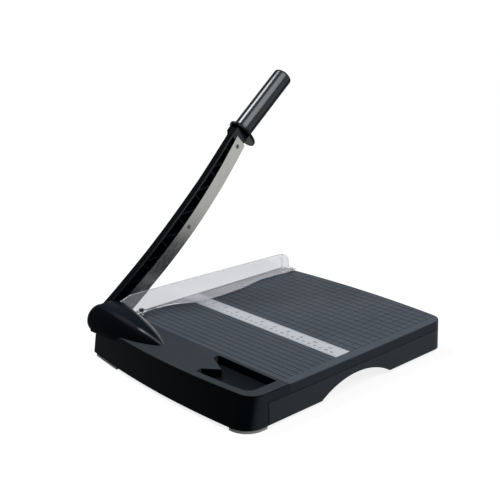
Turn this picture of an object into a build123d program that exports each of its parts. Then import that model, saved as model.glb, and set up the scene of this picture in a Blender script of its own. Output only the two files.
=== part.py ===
from build123d import *
import math
import os

# Lever paper cutter, millimetres. Z is up and Z = 0 is the desk. X runs across the sheet, from the
# cutting edge on the left to the hand-hold side on the right. Y runs along the cutting edge, from
# the pivot end to the far end. Shapes are drawn about the middle of the base, and put() moves them
# so that the origin lies under the middle of the whole cutter with its arm at rest.

os.makedirs("parts", exist_ok=True)

MIDDLE_X = -14.0
MIDDLE_Y = 0.75

# ---- base ----
CUT_X = -160.0
RIGHT_X = 160.0
FRONT_Y = -193.7
FAR_Y = 193.9
DECK_Z = 46.0
FOOT_H = 4.4
WALL = 3.0
LEFT_WALL_X = CUT_X + 2.5

FRONT_BOW_R = 1090.0
FRONT_BOW_X = 19.0
SKIRT_BOW_R = 1234.0
SKIRT_BOW_X = 44.0
SKIRT_Y = -201.8
FAR_BOW_R = 1386.0
SIDE_BOW = 1.8
NEAR_CORNER_R = 22.0
NEAR_CORNER_FOOT_R = 28.0
FAR_CORNER_R = 20.0
DECK_EDGE_R = 1.6

SEAM_Y = -125.0
PANEL_SEAM_Y = -161.4
BAND_SEAM_Z = 32.6
SEAM_GAP = 0.8
TONGUE = 2.0

ARCH_HALF = 67.0
ARCH_Y = -1.0
ARCH_RISE = 19.1

# ---- tray ----
TRAY_DEPTH = 11.4
TRAY_WALL = 2.0
TRAY_BACK_Y = -129.8
TRAY_RIGHT_X = 142.0
TRAY_TAIL_X = 36.8
TRAY_NOTCH = (72.0, -156.4)
TRAY_LAND = 11.0
TRAY_CORNER_R = 13.0

# ---- ruler ----
RULER_LENGTH = 304.8
RULER_Y0 = -26.5
RULER_Y1 = 0.8
RULER_T = 0.8

# ---- pivot ----
PIVOT_Y = -160.0
PIVOT_Z = 43.0
REST_ANGLE = 42.0
HUB_R = 20.5
BOLT_D = 8.0
RUN_FIT = 0.05
BUSH_D = 12.0
HEAD_RECESS_D = 19.0
DOME_R = 34.1
DOME_LENGTH = (123.0, 127.0)
DOME_SHARP = (0.53, 0.70)
DOME_WALL = 2.5
DOME_SPREAD = 2.6

# ---- arm, in the arm's own directions: u along the arm and v across it, from the pivot ----
BLADE_T = 2.0
BLADE_X = CUT_X - RUN_FIT
BEAM_X = BLADE_X - BLADE_T
HUB_OUT_X = -181.3
BEAM_OUT_X = -175.0
BEAM_WALL = 2.6
BEAM_TOP = [(4, 19.5), (26, 16.8), (60, 13.5), (100, 10.3), (140, 8.3), (180, 7.6), (220, 7.7), (260, 8.8),
            (300, 11.5), (338, 14.5)]
BEAM_LOW = [(338, -11.0), (293, -17.0), (230, -24.0), (165, -26.0), (103, -23.0), (56, -18.5), (4, -18.5)]
EDGE = [(24, -20.0), (56, -23.5), (103, -28.0), (149, -30.8), (179, -31.1), (208, -30.6), (237, -28.8),
        (266, -26.3), (295, -22.7), (323, -18.5), (338.5, -15.6)]
BLADE_BACK = [(338.5, 6.4), (320, 3.3), (300, 0.2), (280, -2.7), (250, -6.0), (220, -8.3), (190, -9.6),
              (160, -9.8), (130, -9.0), (100, -6.6), (70, -3.6), (24, 3.0)]
BLADE_EYE_R = 13.0
BLADE_SCREWS = [(48, -11.0), (183.6, -18.6), (327.5, -5.0)]
NECK_U0 = 338.5
NECK_U1 = 350.0
NECK_TOP = 14.5
NECK_LOW = -13.0
NECK_OUT_X = -179.0

# ---- hand guard and handle ----
SHIELD_U = 350.0
SHIELD_T = 4.6
SHIELD_X = -169.6
SHIELD_V = -6.0
SHIELD_RX = 18.9
SHIELD_RV = 27.4
GRIP_U = 358.0
GRIP_END_U = 472.0
GRIP_R = 15.0
GRIP_X = -171.5
GRIP_V = -2.0
GRIP_TILT = -2.2
CORE_R = 5.0

# ---- clear guard ----
GUARD_X = -147.0
GUARD_T = 2.0
FLANGE_T = 1.6
GUARD_GAP = 1.8
GUARD_FAR_Y = 186.0
END_BLOCK_Y = 170.5
END_BLOCK_T = 3.4
TAB_Z = 51.0
TAB_T = 2.0
TAB_FAR_Y = -107.8
TAB_REACH_X = -138.6
NEAR_POST = (-143.5, -115.0)
FAR_POST = (-134.0, 180.5)
POST_D = 4.0
NEAR_BOSS_R = 4.5
FAR_BOSS_R = 5.5
POST_HEAD_D = 6.6
SPRING_WIRE = 0.8
SPRING_R = 3.1
POCKET_R = 3.9
POCKET_Z = 40.0


def put(name, shape):
    """Write one node: a single solid, or a group of like solids."""
    shape = Pos(-MIDDLE_X, -MIDDLE_Y, 0) * shape
    pieces = shape.solids()
    shape = Compound(children=list(pieces)) if len(pieces) > 1 else pieces[0]
    shape.label = name
    export_step(shape, f"parts/{name}.step")


def span(x0, x1, y0, y1, z0, z1):
    """A box between two corners."""
    return Pos((x0 + x1) / 2, (y0 + y1) / 2, (z0 + z1) / 2) * Box(x1 - x0, y1 - y0, z1 - z0)


def rod_x(y, z, radius, x0, x1):
    """A round bar along X."""
    return Pos((x0 + x1) / 2, y, z) * Rot(0, 90, 0) * Cylinder(radius, x1 - x0)


def rod_z(x, y, radius, z0, z1):
    """A round bar along Z."""
    return Pos(x, y, (z0 + z1) / 2) * Cylinder(radius, z1 - z0)


def hex_x(y, z, across_flats, x0, x1):
    """A hexagon bar along X."""
    return extrude(Plane((x0, y, z), x_dir=(0, 1, 0), z_dir=(1, 0, 0))
                   * RegularPolygon(across_flats / math.sqrt(3), 6), x1 - x0)


# ---------------------------------------------------------------- base outline

def bow(radius, distance):
    """How far an arc of this radius falls away at this distance from its crown."""
    return radius - math.sqrt(radius ** 2 - distance ** 2)


def front_edge(x, inset=0.0):
    return FRONT_Y + inset + bow(FRONT_BOW_R, x - FRONT_BOW_X)


def skirt_edge(x, inset=0.0):
    return SKIRT_Y + inset + bow(SKIRT_BOW_R, x - SKIRT_BOW_X)


def far_edge(x, inset=0.0):
    return FAR_Y - inset - bow(FAR_BOW_R, x)


def outline(z, inset, left, foot):
    """The base's outline as a face: three bowed sides, a straight cutting side, round corners."""
    near = skirt_edge if foot else front_edge
    near_r = NEAR_CORNER_FOOT_R if foot else NEAR_CORNER_R
    side = RIGHT_X + (0.5 if foot else 0.0) - inset
    drop = 0.05 if foot else SIDE_BOW
    mid_x = (left + side) / 2
    a = (left, near(left, inset))
    b = (side - drop, near(side - drop, inset))
    c = (side - drop, far_edge(side - drop, inset))
    d = (left, far_edge(left, inset))
    edges = [
        ThreePointArc(a, (mid_x, near(mid_x, inset)), b),
        ThreePointArc(b, (side, 0), c),
        ThreePointArc(c, (mid_x, far_edge(mid_x, inset)), d),
        Line(d, a),
    ]
    face = make_face(edges)
    corner = [v for v in face.vertices() if v.X > 0]
    face = fillet([v for v in corner if v.Y < 0], near_r - inset)
    corner = [v for v in face.vertices() if v.X > 0 and abs(v.Y) > 150]
    tip = max(corner, key=lambda v: v.Y + v.X)
    face = fillet([tip], FAR_CORNER_R - inset)
    return Pos(0, 0, z) * face


def hull(inset, z0, z1, left):
    """The base's outer form, from z0 to z1, drawn in by inset."""
    low = outline(FOOT_H, inset, left, True)
    high = outline(DECK_Z, inset, left, False)
    body = loft([low, high], ruled=True)
    return body & span(-400, 400, -400, 400, z0, z1)


def outer_form():
    """The whole base with its rounded deck edge."""
    body = hull(0, FOOT_H, DECK_Z, LEFT_WALL_X)
    rim = [e for e in body.edges() if abs(e.center().Z - DECK_Z) < 0.01 and e.center().X > LEFT_WALL_X + 1]
    return fillet(rim, DECK_EDGE_R)


def shell_form(body):
    """The base as a shell that is open below."""
    cavity = hull(WALL, FOOT_H - 0.001, DECK_Z - WALL, LEFT_WALL_X + WALL)
    return body - cavity


# ---------------------------------------------------------------- base pieces

def tray_outline(grow=0.0):
    """The fish-tail tray, as a face at Z = 0."""
    right = TRAY_RIGHT_X + grow
    back = TRAY_BACK_Y + grow
    low = TRAY_LAND - grow
    tip = TRAY_TAIL_X - grow
    tail = 53.4 - grow
    notch = (TRAY_NOTCH[0] - grow * 1.8, TRAY_NOTCH[1])
    near_right = (right, front_edge(right, low))
    near_left = (tail, front_edge(tail, low))
    middle = ((right + tail) / 2, front_edge((right + tail) / 2, low))
    prongs = Polyline(near_left, (tail - 1.8, -172.4), notch, (tip + 0.5, -139.6 - grow), (tip, back))
    straight = [Line((tip, back), (right, back)), Line((right, back), near_right)]
    face = make_face(straight + [ThreePointArc(near_right, middle, near_left)] + list(prongs.edges()))
    face = fillet([v for v in face.vertices() if v.X > 100 and v.Y < -150], TRAY_CORNER_R + grow)
    face = fillet([v for v in face.vertices() if 45 < v.X < 60 and v.Y < -160], 3.2)
    return fillet([v for v in face.vertices() if v.X < 42 and v.Y > -145], 3.6)


def tray_block(grow, z0, z1):
    return Pos(0, 0, z0) * extrude(tray_outline(grow), z1 - z0, dir=(0, 0, 1))


def lower_frame_zone():
    """Where the base frame shows: below the band, behind the front cover."""
    right = span(0, 200, PANEL_SEAM_Y + SEAM_GAP / 2, 220, 0, BAND_SEAM_Z)
    left = span(-200, 0, -143.0, 220, 0, BAND_SEAM_Z)
    return right + left


FRAME_TABS = [(150.0, -100.0), (150.0, 112.0), (-88.0, 181.0), (84.0, 181.0),
              (-147.0, -96.0), (-147.0, 60.0)]
COVER_TABS = [(-96.0, -134.0), (0.0, -134.0), (151.0, -139.0)]
SCREW_D = 3.5


def deck_plate(shell):
    plate = shell & span(-200, 200, SEAM_Y + 0.15, 220, BAND_SEAM_Z + SEAM_GAP, 60)
    plate -= span(LEFT_WALL_X - 1, LEFT_WALL_X + WALL, -200, 200, 0, DECK_Z - WALL)
    for x, y in FRAME_TABS:
        plate += rod_z(x, y, 4.5, BAND_SEAM_Z + 0.4, DECK_Z - WALL)
        plate -= rod_z(x, y, SCREW_D / 2, BAND_SEAM_Z, DECK_Z - 1.4)
    plate -= span(LEFT_WALL_X - 1, CUT_X + RULER_LENGTH, RULER_Y0, RULER_Y1, DECK_Z - RULER_T, 60)
    for (x, y), radius in ((NEAR_POST, NEAR_BOSS_R), (FAR_POST, FAR_BOSS_R)):
        plate += rod_z(x, y, radius, DECK_Z - 10, DECK_Z - WALL)
        plate -= rod_z(x, y, POST_D / 2, DECK_Z - 9, 60)
    plate -= rod_z(*FAR_POST, POCKET_R, POCKET_Z, 60)
    plate -= span(LEFT_WALL_X - 1, LEFT_WALL_X + 6, 188, 220, 0, 60)
    return plate


def ruler_strip():
    return span(LEFT_WALL_X, CUT_X + RULER_LENGTH, RULER_Y0, RULER_Y1, DECK_Z - RULER_T, DECK_Z + 0.15)


def front_cover(shell):
    zone = span(-200, 200, -260, SEAM_Y - 0.15, BAND_SEAM_Z + SEAM_GAP, 60)
    zone += span(0, 200, -260, PANEL_SEAM_Y - SEAM_GAP / 2, 0, 60)
    zone += span(-200, 0, -260, -143.4, 0, 60)
    cover = shell & zone
    cheek = hull(0, FOOT_H, 30.0, CUT_X - 3.5) & span(-200, LEFT_WALL_X + WALL, -260, -177, 0, 30)
    cheek -= rod_x(PIVOT_Y, PIVOT_Z, HUB_R + 2.0, -220, LEFT_WALL_X)
    cover += cheek
    cover += tray_block(TRAY_WALL, DECK_Z - TRAY_DEPTH - TRAY_WALL, DECK_Z - 0.5)
    cover -= tray_block(0, DECK_Z - TRAY_DEPTH, DECK_Z + 5)
    cover += foot_seat("front_left")
    cover += foot_seat("front_right")
    for x, y in COVER_TABS:
        cover += rod_z(x, y, 4.5, BAND_SEAM_Z + 0.4, DECK_Z - WALL)
        cover -= rod_z(x, y, SCREW_D / 2, BAND_SEAM_Z, DECK_Z - 1.4)
    cover -= span(LEFT_WALL_X - 1, LEFT_WALL_X + WALL, -143.4, SEAM_Y, 0, DECK_Z - WALL)
    cover -= span(LEFT_WALL_X + 0.001, -134, -173, -147, 26, 60)
    cover -= rod_x(PIVOT_Y, PIVOT_Z, 12.0, LEFT_WALL_X - 1, LEFT_WALL_X + WALL + 1)
    for x in DOME_BOSS_X:
        cover -= rod_z(x, PIVOT_Y, SCREW_D / 2 + 0.2, 30, 60)
    for y, z in BRACKET_SCREWS:
        cover += rod_x(y, z, 4.0, LEFT_WALL_X + 0.5, LEFT_WALL_X + 10)
        cover -= rod_x(y, z, 1.9, LEFT_WALL_X - 1, LEFT_WALL_X + 9)
    return cover


def base_frame(shell):
    frame = shell & lower_frame_zone()
    inside = hull(WALL, FOOT_H, 60, LEFT_WALL_X + WALL)
    lip = hull(WALL, 26.0, 40.0, LEFT_WALL_X + WALL) - hull(WALL + TONGUE, 20.0, 45.0, LEFT_WALL_X - 20)
    frame += lip & (span(0, 200, PANEL_SEAM_Y - 8, 220, 0, 60) + span(-150, 0, 0, 220, 0, 60))
    left_end = far_edge(LEFT_WALL_X, WALL)
    frame += span(LEFT_WALL_X, LEFT_WALL_X + WALL, -142.6, left_end, FOOT_H, DECK_Z - WALL)
    ribs = span(-155, 155, -126.2, -123.8, 10, DECK_Z - WALL)
    ribs += span(-155, 155, -127.0, -119.0, DECK_Z - WALL - 2.4, DECK_Z - WALL)
    ribs += span(-155, 158, 88.8, 91.2, 16, DECK_Z - WALL)
    ribs += span(-155, 110, -19.2, -16.8, 16, DECK_Z - WALL)
    for x in (-56.0, 46.0):
        ribs += span(x - 1.2, x + 1.2, -125, 192, 16, DECK_Z - WALL)
    ribs += span(108.8, 111.2, -125, 91, 16, DECK_Z - WALL)
    frame += ribs & inside
    for x, y in FRAME_TABS:
        if x > 100:
            tab = span(x - 7, 159, y - 7, y + 7, 29.6, BAND_SEAM_Z + 0.4)
        elif x < -120:
            tab = span(-156, x + 7, y - 7, y + 7, 29.6, BAND_SEAM_Z + 0.4)
        else:
            tab = span(x - 7, x + 7, y - 7, 195, 29.6, BAND_SEAM_Z + 0.4)
        frame += tab & inside
    for x, y in COVER_TABS:
        tab = span(x - 7, x + 7, y - 7, -124, 29.6, BAND_SEAM_Z + 0.4)
        frame += tab & inside
    for x, y in FRAME_TABS + COVER_TABS:
        frame -= rod_z(x, y, SCREW_D / 2 + 0.2, 20, BAND_SEAM_Z + 0.5)
        frame -= rod_z(x, y, 4.7, BAND_SEAM_Z + 0.4, DECK_Z)
    frame += foot_seat("rear_left")
    frame += foot_seat("rear_right")
    chord = ARCH_HALF
    radius = (chord ** 2 + ARCH_RISE ** 2) / (2 * ARCH_RISE)
    arch = rod_x(ARCH_Y, FOOT_H + ARCH_RISE - radius, radius, 130, 170)
    frame -= arch & span(130, 170, -90, 90, 0, 40)
    for y, z in KNIFE_SCREWS:
        frame += rod_x(y, z, 4.0, LEFT_WALL_X + 0.5, LEFT_WALL_X + 9)
        frame -= rod_x(y, z, 1.9, LEFT_WALL_X - 1, LEFT_WALL_X + 8)
    frame -= tongue_clearance()
    return frame


def tongue_clearance():
    """Room in the frame for the tray and for the far guard post."""
    room = tray_block(TRAY_WALL + 0.3, DECK_Z - TRAY_DEPTH - TRAY_WALL - 0.3, 60)
    return room + rod_z(*FAR_POST, FAR_BOSS_R + 0.2, 20, 60)


FOOT_ZONES = {
    "front_left": (-156.5, -100.0, -210.0, -166.0),
    "front_right": (131.0, 175.0, -210.0, -163.0),
    "rear_left": (-150.0, -100.0, 150.0, 210.0),
    "rear_right": (110.0, 175.0, 145.0, 210.0),
}
FOOT_INSET = {"front_left": 0.4, "front_right": 0.4, "rear_left": 7.0, "rear_right": 7.0}
SEAT_T = 3.0


def foot_seat(name):
    """The flat pad inside a base corner that a foot is stuck to."""
    x0, x1, y0, y1 = FOOT_ZONES[name]
    seat = hull(0.2, FOOT_H, FOOT_H + SEAT_T, LEFT_WALL_X) & span(x0, x1, y0, y1, 0, 20)
    return seat


def foot(name):
    """A rubber corner foot that follows the base's outline."""
    x0, x1, y0, y1 = FOOT_ZONES[name]
    slab = extrude(outline(FOOT_H, FOOT_INSET[name], LEFT_WALL_X + 0.6, True), FOOT_H, dir=(0, 0, -1))
    pad = slab & span(x0, x1, y0, y1, -1, FOOT_H)
    low = [e for e in pad.edges() if abs(e.center().Z) < 0.01]
    return chamfer(low, 0.8)


# ---------------------------------------------------------------- cutting edge

KNIFE_Y0 = -142.6
KNIFE_Y1 = 182.0
KNIFE_Z0 = 27.0
KNIFE_SCREWS = [(-120.0, 35.0), (-40.0, 35.0), (40.0, 35.0), (120.0, 35.0), (168.0, 35.0)]
BRACKET_SCREWS = [(-169.0, 18.5), (-151.0, 18.5)]
DOME_BOSS_X = (-118.0, -84.0)


def countersunk_x(y, z, face_x, length):
    """A countersunk screw whose flat head lies in a face that looks to -X."""
    head = Pos(face_x + 0.95, y, z) * Rot(0, 90, 0) * Cone(3.4, 1.7, 1.9)
    return head + rod_x(y, z, 1.7, face_x + 1.8, face_x + length)


def bed_knife():
    bar = span(CUT_X, LEFT_WALL_X, KNIFE_Y0, KNIFE_Y1, KNIFE_Z0, DECK_Z)
    for y, z in KNIFE_SCREWS:
        bar -= countersunk_x(y, z, CUT_X + 0.1, 8) + rod_x(y, z, 3.4, CUT_X - 1, CUT_X + 0.11)
    return bar


def bed_knife_screws():
    return Compound(children=[countersunk_x(y, z, CUT_X + 0.1, 9.5) for y, z in KNIFE_SCREWS])


def pivot_bracket():
    plate = span(CUT_X, LEFT_WALL_X, -174, -145, 12, PIVOT_Z)
    plate += rod_x(PIVOT_Y, PIVOT_Z, 14.0, CUT_X, LEFT_WALL_X)
    plate -= rod_x(PIVOT_Y, PIVOT_Z, BOLT_D / 2 + RUN_FIT, -170, -150)
    for y, z in BRACKET_SCREWS:
        plate -= countersunk_x(y, z, CUT_X + 0.1, 8) + rod_x(y, z, 3.4, CUT_X - 1, CUT_X + 0.11)
    return plate


def pivot_bracket_screws():
    return Compound(children=[countersunk_x(y, z, CUT_X + 0.1, 10) for y, z in BRACKET_SCREWS])


# ---------------------------------------------------------------- pivot

BOLT_HEAD_X = -176.3
HEAD_T = 4.6
WASHER_T = 1.5


def pivot_bolt():
    return hex_x(PIVOT_Y, PIVOT_Z, 13.0, BOLT_HEAD_X - HEAD_T, BOLT_HEAD_X) + rod_x(
        PIVOT_Y, PIVOT_Z, BOLT_D / 2, BOLT_HEAD_X, -142.5)


def washer(x0, thickness):
    return rod_x(PIVOT_Y, PIVOT_Z, 8.5, x0, x0 + thickness) - rod_x(
        PIVOT_Y, PIVOT_Z, BOLT_D / 2 + RUN_FIT, x0 - 1, x0 + thickness + 1)


def pivot_washers():
    return Compound(children=[washer(BOLT_HEAD_X, WASHER_T), washer(LEFT_WALL_X, WASHER_T)])


def disc_spring(x0, sign):
    """One conical spring washer, 1.6 mm high, whose dish faces along sign."""
    inner, outer, thickness, lift = BOLT_D / 2 + 0.2, 8.0, 0.9, 0.7
    if sign > 0:
        points = [(x0, inner), (x0 + lift, outer), (x0 + lift + thickness, outer), (x0 + thickness, inner)]
    else:
        points = [(x0 + lift, inner), (x0, outer), (x0 + thickness, outer), (x0 + lift + thickness, inner)]
    section = make_face(Polyline(*points, close=True))
    return Pos(0, PIVOT_Y, PIVOT_Z) * revolve(section, Axis.X)


def disc_springs():
    x0 = LEFT_WALL_X + WASHER_T
    return Compound(children=[disc_spring(x0, -1), disc_spring(x0 + 1.6, 1)])


def pivot_nut():
    x0 = LEFT_WALL_X + WASHER_T + 3.2
    nut = hex_x(PIVOT_Y, PIVOT_Z, 13.0, x0, x0 + 6.5) + rod_x(PIVOT_Y, PIVOT_Z, 5.8, x0, x0 + 8.0)
    return nut - rod_x(PIVOT_Y, PIVOT_Z, BOLT_D / 2, x0 - 1, x0 + 9)


def ogive(shift_y, shift_z, radius, length, sharp):
    """A half spindle of revolution whose blunt end stands on the cutting plane."""
    x0 = CUT_X + 0.8
    steps = [0.0, 0.2, 0.4, 0.6, 0.75, 0.88, 0.96, 1.0]
    curve = [(x0 + s * length, radius * (1 - s ** 1.9) ** sharp) for s in steps]
    edge = Spline(*curve)
    section = make_face([edge, Line(curve[-1], (x0, 0)), Line((x0, 0), curve[0])])
    return Pos(0, PIVOT_Y + shift_y, PIVOT_Z + shift_z) * revolve(section, Axis.X)


def dome_solid(draw_in):
    """The cover's leaf form: two spindles set a little apart, so that a crease runs to the point."""
    radius = DOME_R - draw_in
    halves = []
    for side, length, sharp in zip((1, -1), DOME_LENGTH, DOME_SHARP):
        shift = side * DOME_SPREAD
        halves.append(ogive(0.87 * shift, 0.5 * shift - 1, radius, length - draw_in * 2, sharp))
    return halves[0] & halves[1]


def pivot_cover(body):
    cover = dome_solid(0)
    cover -= dome_solid(DOME_WALL) & span(CUT_X + 0.8 + DOME_WALL, 0, -250, -50, 0, 100)
    cover = cover & span(-200, 0, -250, -50, 38.5, 100)
    cover -= span(LEFT_WALL_X, 50, -240, -50, 0, DECK_Z) & hull(0, FOOT_H, DECK_Z, LEFT_WALL_X)
    cover -= span(-200, LEFT_WALL_X + 0.5, -183, -100, 0, DECK_Z)
    cover -= span(CUT_X - 1, LEFT_WALL_X + 0.3, -174.4, -144.6, 0, PIVOT_Z)
    cover -= rod_x(PIVOT_Y, PIVOT_Z, 14.4, CUT_X - 1, LEFT_WALL_X + 0.3)
    cover -= rod_x(PIVOT_Y, PIVOT_Z, 12.5, CUT_X - 1, -140)
    for x in DOME_BOSS_X:
        boss = rod_z(x, PIVOT_Y, 4.2, DECK_Z, 80) & dome_solid(1.0)
        cover += boss
        cover -= rod_z(x, PIVOT_Y, SCREW_D / 2, DECK_Z - 1, DECK_Z + 9)
    cover = max(cover.solids(), key=lambda s: s.volume)
    return cover - body


def upward_screw(x, y, head_z, length):
    """A pan-head screw driven upwards, with its head under head_z."""
    screw = rod_z(x, y, 3.4, head_z - 2.4, head_z) + rod_z(x, y, SCREW_D / 2, head_z - 0.1, head_z + length)
    return screw - span(x - 2, x + 2, y - 0.4, y + 0.4, head_z - 3, head_z - 1.2)


def pivot_cover_screws():
    return Compound(children=[upward_screw(x, PIVOT_Y, DECK_Z - WALL, 11) for x in DOME_BOSS_X])


def frame_screws():
    return Compound(children=[upward_screw(x, y, 29.6, 13) for x, y in FRAME_TABS])


def cover_screws():
    return Compound(children=[upward_screw(x, y, 29.6, 13) for x, y in COVER_TABS])


# ---------------------------------------------------------------- arm

def arm_plane(x):
    """The plane across X in which u runs along the closed arm and v stands up."""
    return Plane((x, PIVOT_Y, PIVOT_Z), x_dir=(0, 1, 0), z_dir=(1, 0, 0))


def raised(shape):
    """Turn a piece of the arm from closed to its resting angle."""
    return shape.rotate(Axis((0, PIVOT_Y, PIVOT_Z), (1, 0, 0)), REST_ANGLE)


def arm_slab(sketch, x0, x1):
    return extrude(arm_plane(x0) * sketch, x1 - x0)


def arm_rod(u, v, radius, x0, x1):
    return rod_x(PIVOT_Y + u, PIVOT_Z + v, radius, x0, x1)


def two_curves(upper, lower):
    """A face between an upper and a lower curve, with straight ends."""
    top = Spline(*upper)
    low = Spline(*lower)
    return make_face([top, Line(upper[-1], lower[0]), low, Line(lower[-1], upper[0])])


def shrink_curve(points, amount):
    return [(u, v + amount) for u, v in points]


def beam_height(u, points):
    """The height of a beam line at u, by straight steps between its points."""
    pts = sorted(points)
    for (u0, v0), (u1, v1) in zip(pts, pts[1:]):
        if u0 <= u <= u1:
            return v0 + (v1 - v0) * (u - u0) / (u1 - u0)
    return pts[-1][1]


RIB_U = [52, 95.5, 139, 182.5, 226, 269.5, 313]
RIB_T = 2.0


def rib_bar(u0, v0, u1, v1):
    """One rib of the arm's lattice, as a bar between two points."""
    angle = math.degrees(math.atan2(v1 - v0, u1 - u0))
    bar = Rectangle(math.hypot(u1 - u0, v1 - v0), RIB_T)
    return Pos((u0 + u1) / 2, (v0 + v1) / 2) * Rot(0, 0, angle) * bar


def lattice():
    """Upright ribs and one slanting rib in each bay, a little below the beam's open side."""
    ribs = []
    for u in RIB_U:
        ribs.append(rib_bar(u, beam_height(u, BEAM_LOW) + 1, u, beam_height(u, BEAM_TOP) - 1))
    for u0, u1 in zip(RIB_U, RIB_U[1:]):
        ribs.append(rib_bar(u0 + 3, beam_height(u0 + 3, BEAM_TOP) - 1, u1, beam_height(u1, BEAM_LOW) + 1))
    return [arm_slab(rib, BEAM_OUT_X + 2.0, BEAM_X - 1.4) for rib in ribs]


def arm_beam():
    beam = arm_slab(two_curves(BEAM_TOP, BEAM_LOW), BEAM_OUT_X, BEAM_X)
    outer = [e for e in beam.edges() if abs(e.center().X - BEAM_OUT_X) < 0.01 and e.length > 200]
    beam = fillet(max(outer, key=lambda e: e.center().Z), 3.0)
    inner = two_curves(shrink_curve(BEAM_TOP[1:], -BEAM_WALL), shrink_curve(BEAM_LOW[:-1], BEAM_WALL))
    pocket = arm_slab(inner, BEAM_OUT_X + 2.4, BEAM_X + 1)
    pocket &= span(-400, 0, PIVOT_Y + 27, PIVOT_Y + 333, -100, 200)
    beam -= pocket
    for rib in lattice():
        beam += rib
    for u, v in BLADE_SCREWS:
        beam += arm_rod(u, v, 5.0, BEAM_OUT_X + 2.0, BEAM_X)
    height = NECK_TOP - NECK_LOW
    middle = (NECK_TOP + NECK_LOW) / 2
    block = Pos((NECK_U0 + NECK_U1) / 2, middle) * RectangleRounded(NECK_U1 - NECK_U0, height, 2.0)
    beam += arm_slab(block, NECK_OUT_X, BEAM_X + 0.5)
    beam += arm_slab(Pos(NECK_U0, middle) * Rectangle(8, height), BEAM_OUT_X, BEAM_X)
    beam += arm_rod(0, 0, HUB_R, HUB_OUT_X, BEAM_X)
    beam -= arm_rod(0, 0, HEAD_RECESS_D / 2, -190, BOLT_HEAD_X + WASHER_T)
    beam -= arm_rod(0, 0, BUSH_D / 2, -190, -150)
    for u, v in BLADE_SCREWS:
        beam -= arm_rod(u, v, 1.7, BEAM_X - 11, 0)
    beam -= core_solid(CORE_R)
    return raised(beam)


def blade():
    steel = arm_slab(two_curves(BLADE_BACK[::-1], EDGE[::-1]), BEAM_X, BLADE_X)
    steel += arm_rod(0, 0, BLADE_EYE_R, BEAM_X, BLADE_X)
    root = Polyline((0, BLADE_EYE_R), (26, 2.8), (26, -20.2), (0, -BLADE_EYE_R), close=True)
    steel += arm_slab(make_face(root), BEAM_X, BLADE_X)
    steel -= arm_rod(0, 0, BUSH_D / 2, -190, -150)
    for u, v in BLADE_SCREWS:
        steel -= blade_screw(u, v) + arm_rod(u, v, 3.6, BLADE_X - 0.12, 0)
    return raised(steel)


def blade_screw(u, v):
    """A countersunk screw whose head lies just under the blade's deck side."""
    head = Pos(BLADE_X - 0.1 - 0.9, PIVOT_Y + u, PIVOT_Z + v) * Rot(0, -90, 0) * Cone(3.6, 1.7, 1.8)
    return head + arm_rod(u, v, 1.7, BEAM_X - 10, BLADE_X - 1.8)


def blade_screws():
    screws = []
    for u, v in BLADE_SCREWS:
        drive = arm_rod(u, v, 1.3, BLADE_X - 1.1, 0)
        screws.append(raised(blade_screw(u, v) - drive))
    return Compound(children=screws)


def pivot_bush():
    sleeve = arm_rod(0, 0, BUSH_D / 2, BOLT_HEAD_X + WASHER_T, BLADE_X)
    return raised(sleeve - arm_rod(0, 0, BOLT_D / 2 + RUN_FIT, -190, -150))


def hub_cap():
    cap = arm_rod(0, 0, HUB_R, HUB_OUT_X - 3.0, HUB_OUT_X)
    rim = [e for e in cap.edges() if abs(e.center().X - (HUB_OUT_X - 3.0)) < 0.01]
    return raised(fillet(rim, 1.6))


def grip_place(shape):
    """Lay a shape that is drawn along +Z from the origin along the handle's axis."""
    tilt = Rot(-90 + GRIP_TILT, 0, 0)
    return Pos(GRIP_X, PIVOT_Y + SHIELD_U, PIVOT_Z + GRIP_V) * tilt * shape


def core_solid(radius):
    """The steel rod that joins the beam and the grip."""
    return grip_place(Pos(0, 0, -12) * Cylinder(radius, GRIP_END_U - SHIELD_U - 8,
                                                align=(Align.CENTER, Align.CENTER, Align.MIN)))


def handle_core():
    return raised(core_solid(CORE_R))


def handle_grip():
    start = GRIP_U - SHIELD_U - 2.8
    end = GRIP_END_U - SHIELD_U
    collar = GRIP_R + 0.6
    edges = [
        Line((0, start), (collar, start)),
        Line((collar, start), (collar, start + 2.0)),
        Line((collar, start + 2.0), (GRIP_R, start + 3.2)),
        Line((GRIP_R, start + 3.2), (GRIP_R, end - 4.0)),
        Spline((GRIP_R, end - 4.0), (GRIP_R - 1.2, end - 0.9), (GRIP_R - 4.5, end + 0.5), (0, end + 1.2),
               tangents=[(0, 1), (-1, 0)]),
        Line((0, end + 1.2), (0, start)),
    ]
    profile = Plane.XZ * make_face(edges)
    grip = grip_place(revolve(profile, Axis.Z))
    return raised(grip - core_solid(CORE_R))


def hand_guard():
    place = Plane((SHIELD_X, PIVOT_Y + SHIELD_U, PIVOT_Z + SHIELD_V), x_dir=(1, 0, 0), z_dir=(0, 1, 0))
    plate = extrude(place * Ellipse(SHIELD_RX, SHIELD_RV), SHIELD_T)
    rims = [e for e in plate.edges() if e.length > 60]
    plate = fillet(rims, 1.6)
    return raised(plate - core_solid(CORE_R))


# ---------------------------------------------------------------- clear guard

FLANGE_EDGE = [(-146.9, -108.0), (-145.1, -72.0), (-139.9, -53.5), (-131.3, -37.5), (-125.5, -17.0),
               (-122.6, 8.0), (-122.7, 40.0), (-125.5, 71.0), (-131.2, 96.0), (-133.4, 117.0),
               (-132.2, 143.0), (-129.6, 168.0), (-130.2, 188.5)]
FLANGE_Z = DECK_Z + GUARD_GAP


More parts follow.
